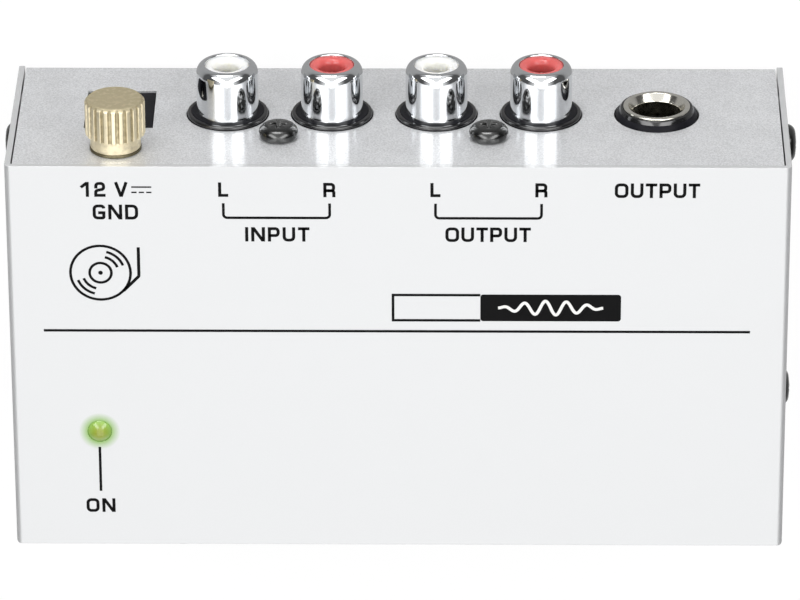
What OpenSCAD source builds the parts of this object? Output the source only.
// Phono preamp: a folded steel box that lies on four rubber feet, printed face up.
// +X runs to the right, +Y towards the jack panel at the back, +Z up. The origin is on
// the surface that the feet stand on, under the middle of the whole object.

/* [Enclosure] */
// Width of the box across its side walls
body_w = 104; // [100:1:140]
// Length of the box from front panel to jack panel
body_l = 57; // [54:0.5:90]
// Height of the box without its feet
body_h = 31.4; // [31:0.2:50]
// Thickness of the steel sheet
sheet = 0.8; // [0.6:0.1:1.2]
// Outer radius of the folds
bend_r = 0.8; // [0.6:0.1:1.5]
// Gap between each side wall and the panels
side_gap = 0.2; // [0.05:0.05:0.4]
// Gap between the printed face and the panels
lid_gap = 0.05; // [0.02:0.01:0.2]
// Radius of the printed face's corners
face_corner_r = 0.4; // [0.2:0.1:1]
// Height of the base's side flanges
flange_h = 8; // [6:0.5:12]
// Distance from the side flanges' ends to the panels' outer faces
flange_end = 5; // [3:0.5:10]

/* [Feet] */
// Radius of a rubber foot
foot_r = 4.75; // [3:0.25:6]
// Height of a rubber foot
foot_h = 1.6; // [1:0.1:4]
// Width of the rounded edge of a foot
foot_edge = 0.4; // [0.2:0.1:0.8]
// Distance from the side walls to a foot's centre
foot_inset_x = 9; // [7:0.5:20]
// Distance from the panels to a foot's centre
foot_inset_y = 8; // [7:0.5:20]

/* [Screws] */
// Radius of a pan head
head_r = 2.65; // [2.3:0.05:3]
// Height of a pan head
head_h = 2; // [1.6:0.1:2.4]
// Rounding of a pan head's edge
head_round = 1; // [0.4:0.1:1.4]
// Radius of a screw's shank
shank_r = 1.45; // [1.2:0.05:1.6]
// Width of a slot of the cross recess
recess_w = 0.75; // [0.5:0.05:1]
// Length of a slot of the cross recess
recess_l = 2.9; // [2:0.1:3.4]
// Depth of the cross recess
recess_d = 1.1; // [0.6:0.1:1.4]
// Radial clearance of a screw in the hole that it is driven into
thread_clear = 0.05; // [0.03:0.01:0.1]
// Radial clearance of a screw in the hole that it passes through
pass_clear = 0.15; // [0.1:0.05:0.4]
// Length of a side screw under its head
side_screw_l = 3.2; // [2.8:0.1:3.5]
// Height of the side screws above the underside
side_screw_rise = 3.4; // [3.4:0.1:4.5]
// Distance from the jack panel to the rear side screws
side_screw_back = 9.8; // [9:0.2:14]
// Distance from the front panel to the front side screws
side_screw_front = 9.7; // [9:0.2:14]

/* [Circuit board] */
// Thickness of the board
board_t = 1.6; // [1:0.2:2.4]
// Length of the board from front to back
board_l = 50; // [48:0.5:52]
// Height of the standoffs
standoff_h = 5.6; // [5:0.2:8]
// Width across the flats of a standoff
standoff_af = 5; // [4.6:0.2:6]
// Radius of a standoff's spigot in the base
spigot_r = 2; // [1.8:0.1:2.3]
// Gap between the board and the side flanges
board_side_gap = 1.6; // [1:0.1:3]
// Gap between the board and the jack panel
board_back_gap = 0.6; // [0.4:0.1:1.5]
// Distance from the board's side edges to a standoff's centre
standoff_inset_x = 3; // [2.8:0.1:3]
// Distance from the board's front and back edges to a standoff's centre
standoff_inset_y = 4; // [3:0.5:6]

/* [Phono jacks] */
// Distance between the two jacks of a pair
pair_pitch = 14; // [12.5:0.5:16]
// Place of the input pair's middle across the box
input_x = -16; // [-17:0.5:-15.5]
// Place of the output pair's middle across the box
output_x = 12; // [11:0.5:12.5]
// Height of the jack axes above the board
jack_rise = 7; // [6.6:0.2:9]
// Radius of a jack's outer sleeve
sleeve_r = 4.15; // [4:0.05:4.3]
// Wall of a jack's outer sleeve
sleeve_wall = 0.65; // [0.5:0.05:0.8]
// Step from the sleeve down to its hidden length
sleeve_step = 0.25; // [0.1:0.05:0.4]
// Reach of the sleeve beyond the jack panel
sleeve_reach = 7.4; // [6:0.1:9]
// Length of the sleeve inside the housing
sleeve_hidden = 5; // [4:0.5:6]
// Width of the sleeve's rolled edge
roll_w = 1.2; // [0.8:0.1:1.3]
// Height over which the sleeve's side rolls over
roll_h = 1.4; // [1:0.1:1.8]
// Width and depth of the roll's inner lip
lip = 0.2; // [0.1:0.05:0.3]
// Depth of the sleeve's rolled edge
roll_d = 0.9; // [0.6:0.1:1.2]
// Depth of the coloured insert under the sleeve's edge
insert_drop = 0.2; // [0.05:0.05:1]
// Rounding of the insert's edge round its hole
insert_round = 0.7; // [0.3:0.1:1]
// Radius of the insert's hole
insert_hole_r = 1.75; // [1.7:0.05:1.9]
// Radius of the bore that takes the plug's pin
pin_bore_r = 1.62; // [1.6:0.01:1.7]
// Depth of the bore that takes the plug's pin
pin_bore_l = 9.5; // [8:0.5:10.5]
// Wall of the centre contact
contact_wall = 0.4; // [0.3:0.05:0.5]
// Depth of the centre contact's mouth under the insert's face
contact_drop = 1.85; // [1.2:0.05:2.5]
// Radial clearance between a jack's nested pieces
jack_clear = 0.05; // [0.03:0.01:0.1]
// Radius of the round nose that shows around a jack
nose_r = 5.4; // [5:0.1:5.8]
// Height of the nose beyond the panel
nose_proud = 0.4; // [0.2:0.1:0.8]
// Width of the chamfer round the nose
nose_chamfer = 0.2; // [0.1:0.05:0.3]
// Radius of the raised ring round each sleeve
nose_ring_r = 4.85; // [4.5:0.05:5]
// Height of that ring above the nose's face
nose_ring_up = 0.15; // [0.1:0.05:0.4]
// Width of a jack pair's housing
housing_w = 27; // [26.5:0.5:27]
// Depth of a jack pair's housing behind the panel
housing_d = 10; // [8:0.5:11]
// Height of the housing above the jack axes
housing_up = 6.2; // [5.8:0.2:7]
// Width of the housing's screw boss
boss_w = 8; // [6:0.5:10]
// Height of the screw boss above its screw
boss_up = 3.6; // [3:0.2:4]
// Distance from the top of the box down to the housing screws
jack_screw_drop = 9.3; // [8:0.1:9.5]
// Length of a housing screw under its head
jack_screw_l = 7; // [5:0.5:9]

/* [Stereo jack] */
// Place of the stereo jack across the box
stereo_x = 34.5; // [34.5:0.5:35]
// Height of the stereo jack's axis above the board
stereo_rise = 7; // [6.6:0.2:8]
// Width of the stereo jack's body
stereo_w = 16; // [15:0.5:16]
// Depth of the stereo jack's body behind the panel
stereo_d = 28; // [27:0.5:30]
// Height of the body above its axis
stereo_up = 7; // [6.6:0.2:8]
// Radius of the collar at the panel
collar_r = 5.55; // [5.2:0.05:6]
// Radius of the collar at its outer end
collar_top_r = 4.75; // [4.7:0.05:5]
// Height of the collar beyond the panel
collar_proud = 1; // [0.6:0.1:1.5]
// Outer radius of the metal ferrule
ferrule_r = 4.5; // [4.4:0.05:4.6]
// Height of the ferrule beyond the panel
ferrule_proud = 1.4; // [0.9:0.1:1.6]
// Rounding of the ferrule's outer edge
ferrule_round = 0.4; // [0.2:0.1:0.5]
// Radius of the ferrule's mouth
mouth_r = 3.75; // [3.5:0.05:3.9]
// Depth of the ferrule's flared mouth
mouth_d = 1; // [0.5:0.1:1.5]
// Radius of the plug bore
plug_bore_r = 3.2; // [3.18:0.01:3.3]
// Length of the ferrule's straight bore
plug_bore_l = 8; // [6:0.5:8]
// Radius of the channel behind the ferrule
channel_r = 3.4; // [3.3:0.05:3.6]

/* [Contact springs] */
// Width of a contact spring
spring_w = 2.8; // [2:0.1:3]
// Thickness of a contact spring
spring_t = 0.4; // [0.2:0.05:0.5]
// Gap between a spring and the walls of its slot
spring_clear = 0.3; // [0.2:0.05:0.5]
// Distance of a resting spring from the plug axis
spring_off = 3.9; // [3.7:0.1:4.2]
// Reach of a spring's bump into the plug's way
bump_bite = 0.42; // [0.2:0.02:0.6]
// Radius of a spring's bump
bump_r = 1.2; // [1:0.1:1.6]
// Distance from the panel to the springs' roots
spring_root = 12; // [12:0.5:13]
// Distance from the panel to the tip contact
tip_depth = 25; // [24:0.5:26]
// Distance from the panel to the ring contact
ring_depth = 20; // [19:0.5:22]
// Radius of the plug that the springs touch
plug_r = 3.17; // [3.15:0.01:3.18]

/* [Power socket] */
// Place of the power socket across the box
dc_x = -37.5; // [-38:0.5:-37.5]
// Width of the socket's body
dc_w = 9; // [8.6:0.1:9]
// Height of the socket's body
dc_h = 11; // [10.5:0.1:11]
// Depth of the socket's body
dc_d = 14.2; // [13:0.1:15]
// Depth of the socket's face behind the jack panel's outer face
dc_recess = 0.25; // [0:0.05:0.6]
// Height of the socket's axis above the board
dc_axis_rise = 6.5; // [6.3:0.1:6.7]
// Radius of the socket's bore
dc_bore_r = 3.15; // [3:0.05:3.3]
// Depth of the socket's bore
dc_bore_d = 9.5; // [9:0.5:10]
// Radius of the centre pin
dc_pin_r = 1; // [1:0.05:1.25]
// Radius of the centre pin's rounded tip
dc_tip_r = 0.4; // [0.2:0.1:0.6]
// Distance from the socket's face to the pin's tip
dc_pin_drop = 1; // [0.5:0.1:2]
// Gap beside the socket in its window
window_side = 0.12; // [0.1:0.02:0.3]
// Gap above the socket in its window
window_above = 0.55; // [0.2:0.05:0.8]
// Gap below the socket in its window
window_below = 0.1; // [0.05:0.05:0.3]

/* [Ground terminal] */
// Place of the ground screw across the box
ground_x = -37.5; // [-38:0.1:-37]
// Distance from the top of the box down to the ground screw
ground_drop = 5.7; // [5.6:0.1:5.8]
// Radius over the ridges of the knurled head
knurl_r = 4; // [3.8:0.1:4.4]
// Height of the knurled head
knurl_h = 5; // [4:0.1:7]
// Number of ridges round the head
ridge_n = 24; // [18:1:30]
// Radius of one ridge
ridge_r = 0.32; // [0.2:0.02:0.4]
// Width of the chamfer round the head's flat top
knurl_chamfer = 0.3; // [0.2:0.05:0.5]
// Radius of the shoulder under the head
shoulder_r = 3.35; // [3:0.05:3.7]
// Height of the shoulder
shoulder_h = 1.9; // [1:0.1:3]
// Radius of the ground screw's thread
ground_thread_r = 2; // [1.5:0.1:2.2]
// Length of the ground screw's thread
ground_thread_l = 7; // [6:0.5:7]
// Radial clearance of the thread in its bush
running_clear = 0.05; // [0.03:0.01:0.08]
// Radius of the washer
washer_r = 3.45; // [3.3:0.05:3.8]
// Thickness of the washer
washer_t = 0.4; // [0.3:0.1:0.8]
// Radial clearance of the washer on the thread
washer_clear = 0.15; // [0.1:0.05:0.3]
// Outer radius of the bush's tail
bush_r = 3; // [2.8:0.1:3.2]
// Radius of the bush's flange
bush_flange_r = 4; // [3.6:0.1:4.2]
// Thickness of the bush's flange
bush_flange_t = 1.2; // [0.8:0.1:1.6]
// Length of the bush's tail
bush_tail_l = 4.4; // [4:0.1:5]
// Thickness of the solder lug
lug_t = 0.5; // [0.3:0.1:0.6]
// Width of the solder lug's tail
lug_w = 2.4; // [2:0.1:3]
// Thickness of the hex nut
nut_t = 2.2; // [1.6:0.1:2.6]
// Width across the flats of the hex nut
nut_af = 8; // [7.4:0.1:8.4]
// Radius of the ground wire
wire_r = 0.7; // [0.5:0.05:0.8]
// Radius of the ground wire's bend
wire_bend_r = 1.6; // [1.2:0.1:2]

/* [Power light] */
// Place of the light across the box
led_x = -40.3; // [-41:0.1:-39]
// Distance from the jack panel to the light
led_back = 39.65; // [38:0.05:41]
// Radius of the light's dome
led_r = 1.5; // [1.4:0.05:1.6]
// Height of the dome above the printed face
led_proud = 0.7; // [0.3:0.1:1.4]
// Height of the light from its base to the top of its dome
led_h = 5.3; // [4.5:0.1:6]
// Radius of the light's base rim
led_rim_r = 1.9; // [1.8:0.05:2]
// Height of the light's base rim
led_rim_h = 1; // [0.8:0.1:1.2]
// Radial clearance of the light in the printed face
led_clear = 0.1; // [0.05:0.05:0.2]
// Radius of a wire lead
lead_r = 0.25; // [0.2:0.05:0.3]
// Distance between the light's leads
led_lead_pitch = 2.54; // [2:0.02:2.6]
// Radius of the spacer tube under the light
led_spacer_r = 2.4; // [2.2:0.1:2.8]

/* [Board parts] */
// Radius of a supply capacitor
supply_cap_r = 4; // [3:0.25:4]
// Height of a supply capacitor
supply_cap_h = 12; // [8:0.5:14]
// Radius of a coupling capacitor
coupling_cap_r = 2.5; // [2:0.25:2.5]
// Height of a coupling capacitor
coupling_cap_h = 11; // [7:0.5:12]
// Length of a film capacitor
film_l = 7.2; // [6:0.2:7.2]
// Thickness of a film capacitor
film_t = 2.8; // [2:0.2:3]
// Height of a film capacitor
film_h = 6.5; // [5:0.5:8]
// Length of an amplifier chip
chip_l = 9.6; // [9:0.2:10]
// Width of an amplifier chip
chip_w = 6.4; // [6:0.2:6.6]
// Thickness of an amplifier chip
chip_t = 3.3; // [3:0.1:3.6]
// Height of an amplifier chip above the board
chip_lift = 0.6; // [0.4:0.1:1]
// Radius of a resistor's body
resistor_r = 1.15; // [0.8:0.05:1.25]
// Length of a resistor's body
resistor_l = 6.3; // [5:0.1:6.5]
// Distance between the leads of a resistor
resistor_pitch = 10; // [9:0.5:10.5]
// Radius of a diode's body
diode_r = 1.35; // [1:0.05:1.4]
// Length of a diode's body
diode_l = 5; // [4:0.1:5.2]
// Radius of a ferrite bead
bead_r = 1.75; // [1.5:0.05:1.8]
// Length of a ferrite bead
bead_l = 5.5; // [4:0.1:6]
// Radius of a ceramic disc
disc_r = 2.5; // [2:0.1:2.6]
// Thickness of a ceramic disc
disc_t = 1.6; // [1.2:0.1:2]

/* [Hidden] */
$fn = 64;

// Overlap of cutting tools past the faces that they cut
cut = 1;
// Points in an arc of an outline
arc_n = 10;

// Planes of the box
reach = max(sleeve_reach, washer_t + shoulder_h + knurl_h);
back_y = (body_l - reach) / 2;
front_y = back_y - body_l;
panel_in_y = back_y - sheet;
under_z = foot_h;
floor_z = under_z + sheet;
top_z = under_z + body_h;
lid_in_z = top_z - sheet;
wall_x = body_w / 2;
base_x = wall_x - sheet - side_gap;
panel_h = body_h - sheet - lid_gap;
// Width of the relief cut at each end of a side flange
relief_w = 1;

// Side screws
side_screw_z = under_z + side_screw_rise;
side_screw_ys = [back_y - side_screw_back, front_y + side_screw_front];

// Circuit board
board_z = floor_z + standoff_h;
board_top = board_z + board_t;
board_x = base_x - sheet - board_side_gap;
board_back = panel_in_y - board_back_gap;
board_front = board_back - board_l;
standoff_xs = [-board_x + standoff_inset_x, board_x - standoff_inset_x];
standoff_ys = [board_front + standoff_inset_y, board_back - standoff_inset_y];
// Gap under the tip of a board screw
screw_tip_gap = 1;
board_screw_l = board_t + standoff_h - screw_tip_gap;

// Phono jacks, with distances along a jack counted outwards from the panel's outer face
jack_z = board_top + jack_rise;
jack_screw_z = top_z - jack_screw_drop;
hidden_r = sleeve_r - sleeve_step;
sleeve_in_r = sleeve_r - sleeve_wall;
mouth_lip_r = sleeve_r - roll_w;
insert_r = sleeve_in_r - jack_clear;
insert_nose_r = mouth_lip_r - jack_clear;
insert_top = sleeve_reach - insert_drop;
contact_r = pin_bore_r + contact_wall;
contact_top = insert_top - contact_drop;
contact_end = contact_top - pin_bore_l;
// Radius of the rods behind the contacts, which end in flat tails
rod_r = 0.8;
tail_gap = 0.7;
// Tags: thickness, width, clearance in their slots and distance behind the panel
tag_t = 0.5;
tag_w = 1.5;
tag_clear = 0.05;
tag_depth = sleeve_hidden - 1;
housing_back = -sheet - housing_d;

// Stereo jack
stereo_z = board_top + stereo_rise;
ferrule_l = mouth_d + plug_bore_l;
ferrule_end = ferrule_proud - ferrule_l;
stereo_back = -sheet - stereo_d;
slot_half = spring_w / 2 + spring_clear;
slot_end_gap = 1;
// Length of a spring's upright root, and of the spring beyond its bump
post_l = 1.6;
spring_overhang = 1.5;
// Gaps between a spring's root and its terminal, and beside the terminal
terminal_gap = 0.3;
terminal_side_gap = 0.2;

// Power socket
dc_z = board_top + dc_axis_rise;
dc_front = -dc_recess;
dc_floor = dc_front - dc_bore_d;
dc_back = dc_front - dc_d;
// Leaf spring: its section, its distance under the axis and its bump's reach into the bore
leaf_w = 2;
leaf_t = 0.3;
leaf_off = 3.9;
leaf_bite = 0.55;
// Its root, bump and tip along the bore
leaf_root = dc_floor - 0.8;
leaf_bump = dc_floor + 3;
leaf_tip = dc_front - 2.5;
// Its slot: depth under the axis and length beyond the leaf's tip
leaf_slot_d = 5.5;
leaf_slot_over = 0.5;

// Ground terminal
ground_z = top_z - ground_drop;
bush_flange_in = -sheet - bush_flange_t;
bush_end = bush_flange_in - bush_tail_l;
wire_x = (dc_x + dc_w / 2 + input_x - housing_w / 2) / 2;
wire_y = back_y + bush_flange_in - lug_t - wire_r;
// Share of a ridge's radius that stands out of the knurled head's core
ridge_show = 0.9;

// Power light
led_y = back_y - led_back;
led_base_z = top_z + led_proud - led_h;

// Rows of the small parts on the board, and the places in them
row_1 = board_front + 4;
row_2 = board_front + 11;
row_3 = board_front + 24;
row_4 = back_y + housing_back - 7.5;
supply_places = [[-30, row_2], [-30, row_3 - 2], [-20.5, row_1 + 1]];
chip_places = [[-12, row_3], [12, row_3]];
film_xs = [-10, 0, 10, 20];
film_ys = [row_2 - 1, row_2 + 4];
ceramic_xs = [-3, 3];
ceramic_ys = [row_3 - 3, row_3 + 3];
resistor_xs = [-7.5, 4, 15.5];
resistor_ys = [row_1 - 1.5, row_1 + 1.8];
diode_x = -40.5;
diode_ys = [row_3 + 1.5, row_3 + 5.5];
bead_x = 30;
bead_ys = [row_1, row_2 - 2];
regulator_at = [30, row_2 + 4.5];
// Height of an axial part's body and of a ceramic disc above the board
axial_lift = 0.2;
disc_lift = 0.6;
// Notch in an amplifier chip's end, and its pins
notch_r = 0.8;
notch_d = 0.5;
pin_pitch = 2.54;
pin_w = 0.6;
pin_t = 0.3;
// Voltage regulator: its block, its height above the board and its three legs
regulator_size = [10, 4.4, 9];
regulator_lift = 3;
leg_size = [0.7, 0.5];

// ---- shared shapes ----

// Turns a child that stands on +Z so that it points along +Y from the jack panel
module on_panel(x, z, s = 0) {
  translate([x, back_y + s, z]) rotate([-90, 0, 0]) children();
}

// Points of an arc round (cx, cy)
function arc(cx, cy, r, a0, a1) =
  [for (i = [0:arc_n]) let (a = a0 + (a1 - a0) * i / arc_n) [cx + r * cos(a), cy + r * sin(a)]];

// Rectangle with its two lower corners rounded
module folded_outline(w, h, r) {
  translate([r, 0]) square([w - 2 * r, h]);
  translate([0, r]) square([w, h - r]);
  for (x = [r, w - r]) translate([x, r]) circle(r);
}

// Section of a sheet folded up at both sides
module channel_section(w, h, t, r) {
  difference() {
    folded_outline(w, h, r);
    translate([t, t])
      if (r > t) folded_outline(w - 2 * t, h, r - t);
      else square([w - 2 * t, h]);
  }
}

// Ring or tube
module tube(r_out, r_in, h) {
  difference() {
    cylinder(r = r_out, h = h);
    translate([0, 0, -cut]) cylinder(r = r_in, h = h + 2 * cut);
  }
}

// Hex prism by its width across the flats
module hex(af, h) {
  rotate(30) cylinder(r = af / 2 / cos(30), h = h, $fn = 6);
}

// Pan head screw: head on +Z, shank down -Z
module pan_screw(l) {
  difference() {
    rotate_extrude() polygon(concat(
      [[0, -l], [shank_r, -l], [shank_r, 0], [head_r, 0]],
      arc(head_r - head_round, head_h - head_round, head_round, 0, 90),
      [[0, head_h]]));
    for (a = [0, 90]) rotate(a)
      translate([-recess_l / 2, -recess_w / 2, head_h - recess_d])
        cube([recess_l, recess_w, recess_d + cut]);
  }
}

// Block by its two corners
module block(low, high) {
  translate(low) cube(high - low);
}

// Round part that stands on the board
module can(x, y, r, h, lift = 0) {
  translate([x, y, board_top + lift]) cylinder(r = r, h = h);
}

// Axial part lying along X, with its leads bent down to the board
module axial(x, y, r, l, pitch) {
  z = board_top + r + axial_lift;
  translate([x - l / 2, y, z]) rotate([0, 90, 0]) cylinder(r = r, h = l);
  translate([x - pitch / 2, y, z]) rotate([0, 90, 0]) cylinder(r = lead_r, h = pitch);
  for (side = [-1, 1]) translate([x + side * pitch / 2, y, board_top]) {
    cylinder(r = lead_r, h = z - board_top);
    translate([0, 0, z - board_top]) sphere(lead_r);
  }
}

// ---- enclosure ----

module panel_openings() {
  for (x = [input_x, output_x]) {
    for (side = [-1, 1])
      on_panel(x + side * pair_pitch / 2, jack_z, -sheet - cut)
        cylinder(r = nose_r + pass_clear, h = sheet + 2 * cut);
    on_panel(x, jack_screw_z, -sheet - cut)
      cylinder(r = shank_r + pass_clear, h = sheet + 2 * cut);
  }
  on_panel(stereo_x, stereo_z, -sheet - cut)
    cylinder(r = collar_r + pass_clear, h = sheet + 2 * cut);
  on_panel(ground_x, ground_z, -sheet - cut)
    cylinder(r = bush_r + thread_clear, h = sheet + 2 * cut);
  block([dc_x - dc_w / 2 - window_side, panel_in_y - cut, board_top - window_below],
        [dc_x + dc_w / 2 + window_side, back_y + cut, board_top + dc_h + window_above]);
}

module base_chassis() color("#CFD0D2") {
  flange_l = body_l - 2 * flange_end;
  difference() {
    union() {
      difference() {
        translate([-base_x, front_y, under_z]) rotate([90, 0, 90])
          linear_extrude(2 * base_x) channel_section(body_l, panel_h, sheet, bend_r);
        for (side = [-1, 1])
          translate([side * (base_x + cut) - bend_r - cut,
                     front_y + flange_end - relief_w, under_z - cut])
            cube([2 * (bend_r + cut), flange_l + 2 * relief_w, sheet + 2 * cut]);
      }
      translate([-base_x, back_y - flange_end, under_z]) rotate([90, 0, 0])
        linear_extrude(flange_l) channel_section(2 * base_x, flange_h, sheet, bend_r);
    }
    panel_openings();
    for (y = side_screw_ys) translate([-wall_x, y, side_screw_z]) rotate([0, 90, 0])
      cylinder(r = shank_r + thread_clear, h = body_w);
    for (x = standoff_xs, y = standoff_ys) translate([x, y, under_z - cut])
      cylinder(r = spigot_r + thread_clear, h = sheet + 2 * cut);
  }
}

module top_cover() color("#F0F2F1") {
  difference() {
    intersection() {
      translate([-wall_x, back_y, top_z]) rotate([-90, 0, 0])
        translate([0, 0, -body_l]) linear_extrude(body_l)
          channel_section(body_w, body_h, sheet, bend_r);
      translate([-wall_x, front_y, under_z]) linear_extrude(body_h) {
        translate([face_corner_r, 0]) square([body_w - 2 * face_corner_r, body_l]);
        translate([0, face_corner_r]) square([body_w, body_l - face_corner_r]);
        for (x = [face_corner_r, body_w - face_corner_r])
          translate([x, face_corner_r]) circle(face_corner_r);
      }
    }
    translate([led_x, led_y, lid_in_z - cut])
      cylinder(r = led_r + led_clear, h = sheet + 2 * cut);
    for (y = side_screw_ys) translate([-wall_x - cut, y, side_screw_z]) rotate([0, 90, 0])
      cylinder(r = shank_r + pass_clear, h = body_w + 2 * cut);
  }
}

module cover_screws() color("#2A2A2A") {
  for (side = [-1, 1], y = side_screw_ys)
    translate([side * wall_x, y, side_screw_z]) rotate([0, side * 90, 0])
      pan_screw(side_screw_l);
}

module rubber_feet() color("#1C1C1D") {
  for (side = [-1, 1], y = [front_y + foot_inset_y, back_y - foot_inset_y])
    translate([side * (wall_x - foot_inset_x), y, 0]) {
      cylinder(r1 = foot_r - foot_edge, r2 = foot_r, h = foot_edge);
      translate([0, 0, foot_edge]) cylinder(r = foot_r, h = foot_h - foot_edge);
    }
}

// ---- circuit board and its supports ----

module circuit_board() color("#1F5B3A") {
  difference() {
    block([-board_x, board_front, board_z], [board_x, board_back, board_top]);
    for (x = standoff_xs, y = standoff_ys) translate([x, y, board_z - cut])
      cylinder(r = shank_r + pass_clear, h = board_t + 2 * cut);
  }
}

module board_standoffs() color("#B9B9B4") {
  for (x = standoff_xs, y = standoff_ys) translate([x, y, under_z])
    difference() {
      union() {
        cylinder(r = spigot_r, h = sheet);
        translate([0, 0, sheet]) hex(standoff_af, standoff_h);
      }
      translate([0, 0, sheet]) cylinder(r = shank_r + thread_clear, h = standoff_h + cut);
    }
}

module board_screws() color("#9C9C9A") {
  for (x = standoff_xs, y = standoff_ys)
    translate([x, y, board_top]) pan_screw(board_screw_l);
}

// ---- phono jacks ----

module jack_housing(x) color("#2A2A2C") {
  difference() {
    union() {
      block([x - housing_w / 2, back_y + housing_back, board_top],
            [x + housing_w / 2, panel_in_y, jack_z + housing_up]);
      block([x - boss_w / 2, back_y + housing_back, jack_z],
            [x + boss_w / 2, panel_in_y, jack_screw_z + boss_up]);
      for (side = [-1, 1]) on_panel(x + side * pair_pitch / 2, jack_z, -sheet - cut) {
        cylinder(r = nose_r, h = sheet + cut + nose_proud - nose_chamfer);
        translate([0, 0, sheet + cut + nose_proud - nose_chamfer])
          cylinder(r1 = nose_r, r2 = nose_r - nose_chamfer, h = nose_chamfer);
        cylinder(r = nose_ring_r, h = sheet + cut + nose_proud + nose_ring_up);
      }
    }
    for (side = [-1, 1]) {
      jack_x = x + side * pair_pitch / 2;
      on_panel(jack_x, jack_z, -sleeve_hidden)
        cylinder(r = hidden_r + jack_clear, h = sleeve_hidden + nose_proud + cut);
      on_panel(jack_x, jack_z, nose_proud)
        cylinder(r = sleeve_r + jack_clear, h = nose_ring_up + cut);
      on_panel(jack_x, jack_z, housing_back - cut)
        cylinder(r = contact_r + jack_clear, h = housing_d + cut);
      block([jack_x - tag_w / 2 - tag_clear, back_y - tag_depth - tag_clear, board_top - cut],
            [jack_x + tag_w / 2 + tag_clear, back_y - tag_depth + tag_t + tag_clear, jack_z]);
    }
    on_panel(x, jack_screw_z, -jack_screw_l - cut)
      cylinder(r = shank_r + thread_clear, h = jack_screw_l + 2 * cut);
  }
}

module jack_screw(x) color("#2A2A2A") on_panel(x, jack_screw_z) pan_screw(jack_screw_l);

module jack_sleeve(x) color("#D9DCDD") on_panel(x, jack_z)
  rotate_extrude() polygon(concat(
    [[sleeve_in_r, -sleeve_hidden], [hidden_r, -sleeve_hidden], [hidden_r, nose_proud],
     [sleeve_r, nose_proud]],
    [for (p = arc(0, 0, 1, 0, 90))
      [mouth_lip_r + lip + p.x * (roll_w - lip), sleeve_reach - roll_h + p.y * roll_h]],
    [[mouth_lip_r, sleeve_reach - lip], [mouth_lip_r, sleeve_reach - roll_d],
     [sleeve_in_r, sleeve_reach - roll_d]]));

module jack_insert(x, tint) color(tint) on_panel(x, jack_z)
  rotate_extrude() polygon(concat([
    [contact_r + jack_clear, -sleeve_hidden], [insert_r, -sleeve_hidden],
    [insert_r, sleeve_reach - roll_d - jack_clear],
    [insert_nose_r, sleeve_reach - roll_d - jack_clear], [insert_nose_r, insert_top]],
    arc(insert_hole_r + insert_round, insert_top - insert_round, insert_round, 90, 180),
    [[insert_hole_r, contact_top + jack_clear],
     [contact_r + jack_clear, contact_top + jack_clear]]));

module centre_contacts(x) color("#C9C6BC")
  for (side = [-1, 1]) {
    jack_x = x + side * pair_pitch / 2;
    tail_s = housing_back - tail_gap;
    on_panel(jack_x, jack_z, contact_end) tube(contact_r, pin_bore_r, pin_bore_l);
    on_panel(jack_x, jack_z, contact_end - tag_t) cylinder(r = contact_r, h = tag_t);
    on_panel(jack_x, jack_z, tail_s) cylinder(r = rod_r, h = contact_end - tail_s);
    block([jack_x - rod_r, back_y + tail_s - tag_t, board_top],
          [jack_x + rod_r, back_y + tail_s, jack_z + rod_r]);
  }

module earth_tags(x) color("#C9C6BC")
  for (side = [-1, 1]) {
    jack_x = x + side * pair_pitch / 2;
    block([jack_x - tag_w / 2, back_y - tag_depth, board_top],
          [jack_x + tag_w / 2, back_y - tag_depth + tag_t, jack_z - hidden_r - tag_clear]);
  }

// ---- stereo jack ----

module stereo_jack_body() color("#27272A") {
  difference() {
    union() {
      block([stereo_x - stereo_w / 2, back_y + stereo_back, board_top],
            [stereo_x + stereo_w / 2, panel_in_y, stereo_z + stereo_up]);
      on_panel(stereo_x, stereo_z, -sheet - cut) cylinder(r = collar_r, h = sheet + cut);
      on_panel(stereo_x, stereo_z)
        cylinder(r1 = collar_r, r2 = collar_top_r, h = collar_proud);
    }
    on_panel(stereo_x, stereo_z, ferrule_end)
      cylinder(r = ferrule_r + jack_clear, h = ferrule_l + cut);
    on_panel(stereo_x, stereo_z, stereo_back - cut)
      cylinder(r = channel_r, h = stereo_d + cut);
    // slots for the tip spring above the channel and the ring spring beside it
    block([stereo_x - slot_half, back_y - tip_depth - spring_overhang - slot_end_gap,
           stereo_z],
          [stereo_x + slot_half, back_y - spring_root + post_l, stereo_z + stereo_up + cut]);
    block([stereo_x - stereo_w / 2 - cut, back_y - ring_depth - spring_overhang - slot_end_gap,
           stereo_z - slot_half],
          [stereo_x, back_y - spring_root + post_l, stereo_z + slot_half]);
    block([stereo_x - tag_w / 2 - tag_clear, back_y - tag_depth - tag_clear, board_top - cut],
          [stereo_x + tag_w / 2 + tag_clear, back_y - tag_depth + tag_t + tag_clear, stereo_z]);
  }
}

module stereo_jack_ferrule() color("#C8C6BE") on_panel(stereo_x, stereo_z)
  rotate_extrude() polygon(concat(
    [[plug_bore_r, ferrule_end], [ferrule_r, ferrule_end]],
    arc(ferrule_r - ferrule_round, ferrule_proud - ferrule_round, ferrule_round, 0, 90),
    [[mouth_r, ferrule_proud], [plug_bore_r, ferrule_proud - mouth_d]]));

module stereo_sleeve_tag() color("#C9C6BC")
  block([stereo_x - tag_w / 2, back_y - tag_depth, board_top],
        [stereo_x + tag_w / 2, back_y - tag_depth + tag_t, stereo_z - ferrule_r - tag_clear]);

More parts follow.
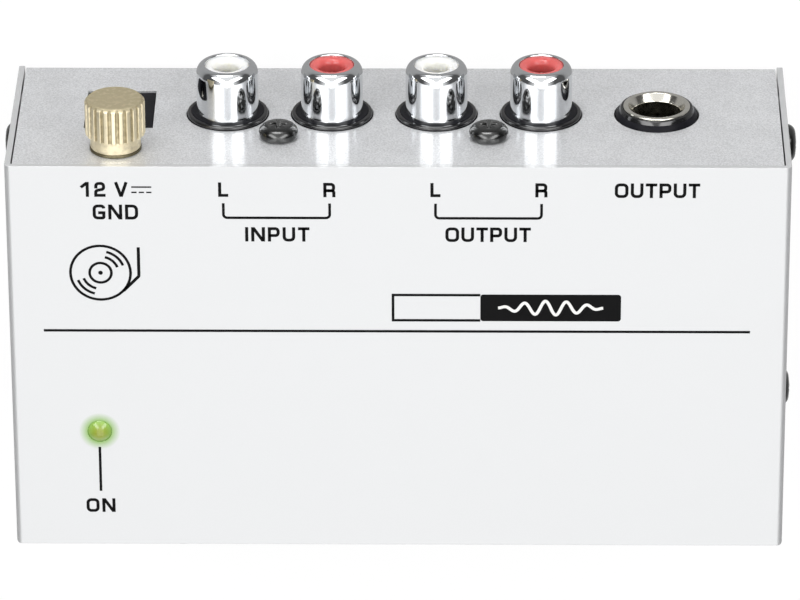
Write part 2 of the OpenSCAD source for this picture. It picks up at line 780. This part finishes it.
// Leaf along -Y from its root, with its bump towards -Z and a post up to the slot's edge
module contact_spring(depth, edge) {
  length = depth - spring_root + spring_overhang;
  bump_low = plug_r - bump_bite;
  translate([-spring_w / 2, -spring_root - length, spring_off])
    cube([spring_w, length, spring_t]);
  translate([-spring_w / 2, -spring_root - post_l / 2, spring_off])
    cube([spring_w, post_l, edge - terminal_gap - spring_off]);
  intersection() {
    translate([-spring_w / 2, -depth, bump_low + bump_r]) rotate([0, 90, 0])
      cylinder(r = bump_r, h = spring_w);
    translate([-spring_w / 2, -depth - bump_r, bump_low - cut])
      cube([spring_w, 2 * bump_r, spring_off + spring_t / 2 - bump_low + cut]);
  }
}

module stereo_tip_spring() color("#C9B27A")
  translate([stereo_x, back_y, stereo_z]) contact_spring(tip_depth, stereo_up);

module stereo_ring_spring() color("#C9B27A")
  translate([stereo_x, back_y, stereo_z]) rotate([0, -90, 0])
    contact_spring(ring_depth, stereo_w / 2);

module stereo_tip_terminal() color("#C9C6BC") {
  side_x = stereo_x + stereo_w / 2 + terminal_side_gap;
  block([stereo_x - spring_w / 2, back_y - spring_root - post_l / 2, stereo_z + stereo_up],
        [side_x + tag_t, back_y - spring_root + post_l / 2, stereo_z + stereo_up + tag_t]);
  block([side_x, back_y - spring_root - post_l / 2, board_top],
        [side_x + tag_t, back_y - spring_root + post_l / 2, stereo_z + stereo_up + tag_t]);
}

module stereo_ring_terminal() color("#C9C6BC") {
  side_x = stereo_x - stereo_w / 2;
  block([side_x - tag_t, back_y - spring_root - post_l / 2, board_top],
        [side_x, back_y - spring_root + post_l / 2, stereo_z + spring_w / 2]);
}

// ---- power socket ----

module power_socket_body() color("#1E1E20") {
  difference() {
    block([dc_x - dc_w / 2, back_y + dc_back, board_top],
          [dc_x + dc_w / 2, back_y + dc_front, board_top + dc_h]);
    on_panel(dc_x, dc_z, dc_floor) cylinder(r = dc_bore_r, h = dc_bore_d + cut);
    on_panel(dc_x, dc_z, dc_back - cut)
      cylinder(r = rod_r + jack_clear, h = dc_d - dc_bore_d + 2 * cut);
    // slot for the leaf spring under the bore, and the way down for its terminal
    block([dc_x - leaf_w / 2 - spring_clear, back_y + leaf_root - spring_clear,
           dc_z - leaf_slot_d],
          [dc_x + leaf_w / 2 + spring_clear, back_y + leaf_tip + leaf_slot_over + spring_clear,
           dc_z]);
    block([dc_x - leaf_w / 2 - tag_clear, back_y + leaf_root - terminal_gap - tag_t - tag_clear,
           board_top - cut],
          [dc_x + leaf_w / 2 + tag_clear, back_y + leaf_root, dc_z - leaf_off + leaf_t]);
  }
}

module power_centre_pin() color("#C9C6BC") {
  pin_l = dc_bore_d - dc_pin_drop - dc_tip_r;
  tail_s = dc_back - terminal_gap;
  on_panel(dc_x, dc_z, dc_floor) {
    cylinder(r = dc_pin_r, h = pin_l);
    translate([0, 0, pin_l]) rotate_extrude() polygon(concat(
      [[0, 0]], arc(dc_pin_r - dc_tip_r, 0, dc_tip_r, 0, 90), [[0, dc_tip_r]]));
  }
  on_panel(dc_x, dc_z, tail_s) cylinder(r = rod_r, h = dc_floor - tail_s);
  block([dc_x - rod_r, back_y + tail_s - tag_t, board_top],
        [dc_x + rod_r, back_y + tail_s, dc_z + rod_r]);
}

module power_leaf_spring() color("#C9B27A") {
  bump_top = dc_z - dc_bore_r + leaf_bite;
  block([dc_x - leaf_w / 2, back_y + leaf_root, dc_z - leaf_off],
        [dc_x + leaf_w / 2, back_y + leaf_tip, dc_z - leaf_off + leaf_t]);
  intersection() {
    translate([dc_x - leaf_w / 2, back_y + leaf_bump, bump_top - bump_r])
      rotate([0, 90, 0]) cylinder(r = bump_r, h = leaf_w);
    block([dc_x - leaf_w / 2, back_y + leaf_bump - bump_r, dc_z - leaf_off + leaf_t / 2],
          [dc_x + leaf_w / 2, back_y + leaf_bump + bump_r, bump_top + cut]);
  }
}

module power_leaf_terminal() color("#C9C6BC")
  block([dc_x - leaf_w / 2, back_y + leaf_root - terminal_gap - tag_t, board_top],
        [dc_x + leaf_w / 2, back_y + leaf_root - terminal_gap, dc_z - leaf_off + leaf_t]);

// ---- ground terminal ----

module ground_bush() color("#C2B280") on_panel(ground_x, ground_z)
  rotate_extrude() polygon([
    [ground_thread_r + running_clear, bush_end], [bush_r, bush_end],
    [bush_r, bush_flange_in], [bush_flange_r, bush_flange_in], [bush_flange_r, -sheet],
    [bush_r, -sheet], [bush_r, 0], [ground_thread_r + running_clear, 0]]);

module ground_lug() color("#C9C6BC") {
  difference() {
    union() {
      on_panel(ground_x, ground_z, bush_flange_in - lug_t)
        cylinder(r = bush_flange_r, h = lug_t);
      block([ground_x, back_y + bush_flange_in - lug_t, ground_z - lug_w / 2],
            [wire_x + wire_r, back_y + bush_flange_in, ground_z + lug_w / 2]);
    }
    on_panel(ground_x, ground_z, bush_flange_in - lug_t - cut)
      cylinder(r = bush_r + thread_clear, h = lug_t + 2 * cut);
  }
}

module ground_nut() color("#C2B280")
  on_panel(ground_x, ground_z, bush_flange_in - lug_t - nut_t)
    difference() {
      hex(nut_af, nut_t);
      translate([0, 0, -cut]) cylinder(r = bush_r + thread_clear, h = nut_t + 2 * cut);
    }

module ground_wire() color("#3F8F4A") {
  bend_z = ground_z - wire_bend_r;
  translate([wire_x, wire_y, board_top]) cylinder(r = wire_r, h = bend_z - board_top);
  translate([wire_x - wire_bend_r, wire_y, bend_z]) rotate([90, 0, 0])
    rotate_extrude(angle = 90) translate([wire_bend_r, 0]) circle(wire_r);
}

module ground_washer() color("#77756E")
  on_panel(ground_x, ground_z)
    tube(washer_r, ground_thread_r + washer_clear, washer_t);

module ground_screw() color("#C8BA8C") on_panel(ground_x, ground_z) {
  core_r = knurl_r - ridge_show * ridge_r;
  ridge_h = knurl_h - knurl_chamfer;
  translate([0, 0, washer_t - ground_thread_l])
    cylinder(r = ground_thread_r, h = ground_thread_l);
  translate([0, 0, washer_t]) cylinder(r = shoulder_r, h = shoulder_h);
  translate([0, 0, washer_t + shoulder_h]) {
    cylinder(r = core_r, h = ridge_h);
    for (i = [0:ridge_n - 1]) rotate(i * 360 / ridge_n)
      translate([knurl_r - ridge_r, 0, 0]) cylinder(r = ridge_r, h = ridge_h);
    translate([0, 0, ridge_h])
      cylinder(r1 = core_r, r2 = core_r - knurl_chamfer, h = knurl_chamfer);
  }
}

// ---- power light ----

module power_led() color("#A4CC78") translate([led_x, led_y, led_base_z]) {
  cylinder(r = led_rim_r, h = led_rim_h);
  cylinder(r = led_r, h = led_h - led_r);
  translate([0, 0, led_h - led_r]) sphere(led_r);
}

module led_leads() color("#C9C6BC")
  for (side = [-1, 1])
    can(led_x + side * led_lead_pitch / 2, led_y, lead_r, led_base_z - board_top);

module led_spacer() color("#E6E3DA")
  difference() {
    can(led_x, led_y, led_spacer_r, led_base_z - board_top);
    for (side = [-1, 1])
      can(led_x + side * led_lead_pitch / 2, led_y, lead_r + jack_clear,
          led_base_z - board_top + 2 * cut, -cut);
  }

// ---- board parts ----

module amplifier_chips() color("#1B1B1C")
  for (p = chip_places) difference() {
    block([p.x - chip_l / 2, p.y - chip_w / 2, board_top + chip_lift],
          [p.x + chip_l / 2, p.y + chip_w / 2, board_top + chip_lift + chip_t]);
    translate([p.x - chip_l / 2, p.y, board_top + chip_lift + chip_t - notch_d])
      cylinder(r = notch_r, h = cut);
  }

module amplifier_pins() color("#C9C6BC")
  for (p = chip_places, side = [-1, 1], i = [-1.5:1:1.5]) {
    pin_x = p.x + i * pin_pitch;
    pin_y = p.y + side * (chip_w / 2 + jack_clear + pin_t / 2);
    pin_z = board_top + chip_lift + chip_t / 2;
    block([pin_x - pin_w / 2, pin_y - pin_t / 2, board_top],
          [pin_x + pin_w / 2, pin_y + pin_t / 2, pin_z]);
  }

module supply_capacitors() color("#26324A")
  for (p = supply_places) can(p.x, p.y, supply_cap_r, supply_cap_h);

module coupling_capacitors() color("#2B2B2E")
  for (x = [input_x, output_x], side = [-1, 1])
    can(x + side * pair_pitch / 2, row_4, coupling_cap_r, coupling_cap_h);

module film_capacitors() color("#B23A2E")
  for (x = film_xs, y = film_ys)
    block([x - film_l / 2, y - film_t / 2, board_top],
          [x + film_l / 2, y + film_t / 2, board_top + film_h]);

module ceramic_capacitors() color("#B8873E")
  for (x = ceramic_xs, y = ceramic_ys) {
    disc_z = board_top + disc_r + disc_lift;
    translate([x, y - disc_t / 2, disc_z]) rotate([-90, 0, 0])
      cylinder(r = disc_r, h = disc_t);
    for (side = [-1, 1])
      can(x + side * led_lead_pitch / 2, y, lead_r, disc_z - board_top - disc_r / 2);
  }

module resistors() color("#C8B48A")
  for (x = resistor_xs, y = resistor_ys)
    axial(x, y, resistor_r, resistor_l, resistor_pitch);

module diodes() color("#2E2E30")
  for (y = diode_ys) axial(diode_x, y, diode_r, diode_l, resistor_pitch);

module ferrite_beads() color("#4A4A4C")
  for (y = bead_ys) axial(bead_x, y, bead_r, bead_l, resistor_pitch);

module voltage_regulator() color("#1F1F20")
  translate([regulator_at.x, regulator_at.y, board_top]) {
    translate([-regulator_size.x / 2, -regulator_size.y / 2, regulator_lift]) cube(regulator_size);
    for (i = [-1:1]) translate([i * pin_pitch - leg_size.x / 2, -leg_size.y / 2, 0])
      cube([leg_size.x, leg_size.y, regulator_lift]);
  }

base_chassis();
top_cover();
cover_screws();
rubber_feet();
circuit_board();
board_standoffs();
board_screws();
jack_housing(input_x);  // input_jack_housing
jack_screw(input_x);  // input_jack_screw
jack_sleeve(input_x - pair_pitch / 2);  // input_left_sleeve
jack_sleeve(input_x + pair_pitch / 2);  // input_right_sleeve
jack_insert(input_x - pair_pitch / 2, "#E9E7DF");  // input_left_insert
jack_insert(input_x + pair_pitch / 2, "#D8484C");  // input_right_insert
centre_contacts(input_x);  // input_centre_contacts
earth_tags(input_x);  // input_earth_tags
jack_housing(output_x);  // output_jack_housing
jack_screw(output_x);  // output_jack_screw
jack_sleeve(output_x - pair_pitch / 2);  // output_left_sleeve
jack_sleeve(output_x + pair_pitch / 2);  // output_right_sleeve
jack_insert(output_x - pair_pitch / 2, "#E9E7DF");  // output_left_insert
jack_insert(output_x + pair_pitch / 2, "#D8484C");  // output_right_insert
centre_contacts(output_x);  // output_centre_contacts
earth_tags(output_x);  // output_earth_tags
stereo_jack_body();
stereo_jack_ferrule();
stereo_sleeve_tag();
stereo_tip_spring();
stereo_tip_terminal();
stereo_ring_spring();
stereo_ring_terminal();
power_socket_body();
power_centre_pin();
power_leaf_spring();
power_leaf_terminal();
ground_bush();
ground_nut();
ground_lug();
ground_wire();
ground_washer();
ground_screw();
power_led();
led_leads();
led_spacer();
amplifier_chips();
amplifier_pins();
supply_capacitors();
coupling_capacitors();
film_capacitors();
ceramic_capacitors();
resistors();
diodes();
ferrite_beads();
voltage_regulator();
